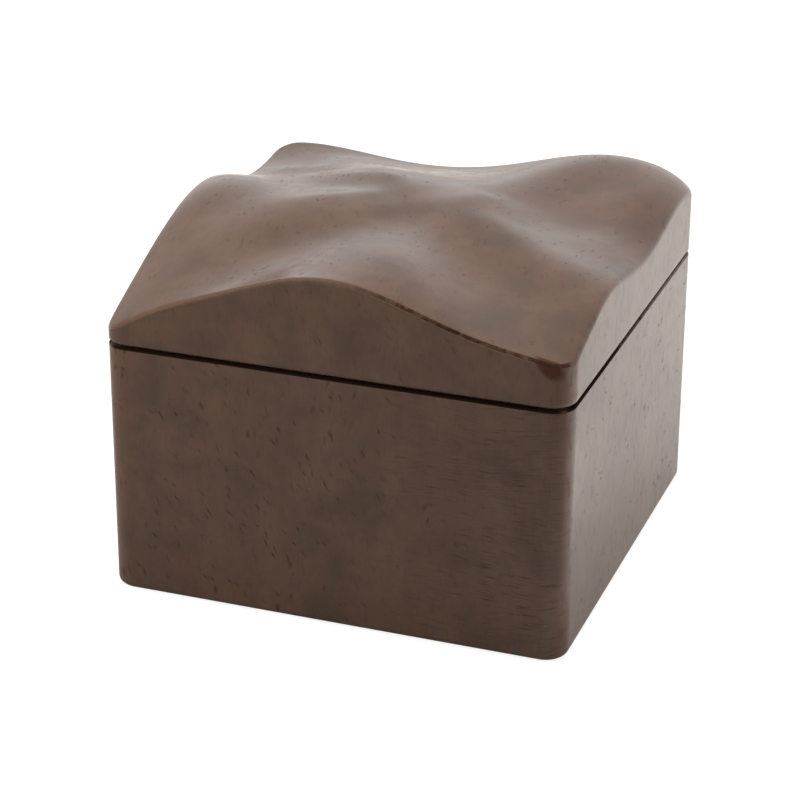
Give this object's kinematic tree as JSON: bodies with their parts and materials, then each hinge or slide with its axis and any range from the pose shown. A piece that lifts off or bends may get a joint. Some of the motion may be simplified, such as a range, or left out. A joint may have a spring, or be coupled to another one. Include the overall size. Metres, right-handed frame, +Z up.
{
  "type": "shogi piece box",
  "caption": "Low, nearly square wooden box with rounded corners, hollow inside, and a lift-off lid whose top is carved into soft radiating ridges; holds board game pieces.",
  "frame": {"origin": "middle of the underside", "axes": "+X to the right along the front, +Y from front to back, +Z up"},
  "size_m": [0.12, 0.118, 0.0933],
  "materials": {
    "body_wood": "satin, dark brown stain over figured hardwood",
    "lid_wood": "satin, dark brown stain over figured hardwood",
    "bottom_wood": "matt, light stain",
    "peg_wood": "matt, unstained",
    "lip_wood": "matt, oiled"
  },
  "bodies": {
    "box": {"body_block": "body_wood", "bottom_board": "bottom_wood", "bottom_pegs": "peg_wood", "lip_board_front": "lip_wood", "lip_board_right": "lip_wood", "lip_board_back": "lip_wood", "lip_board_left": "lip_wood"},
    "lid": {"lid_block": "lid_wood"}
  },
  "joints": [
    {"name": "lid_lift", "type": "slide", "parent": "box", "child": "lid", "axis": [0, 0, 1], "range_m": [0, 0.06]}
  ]
}
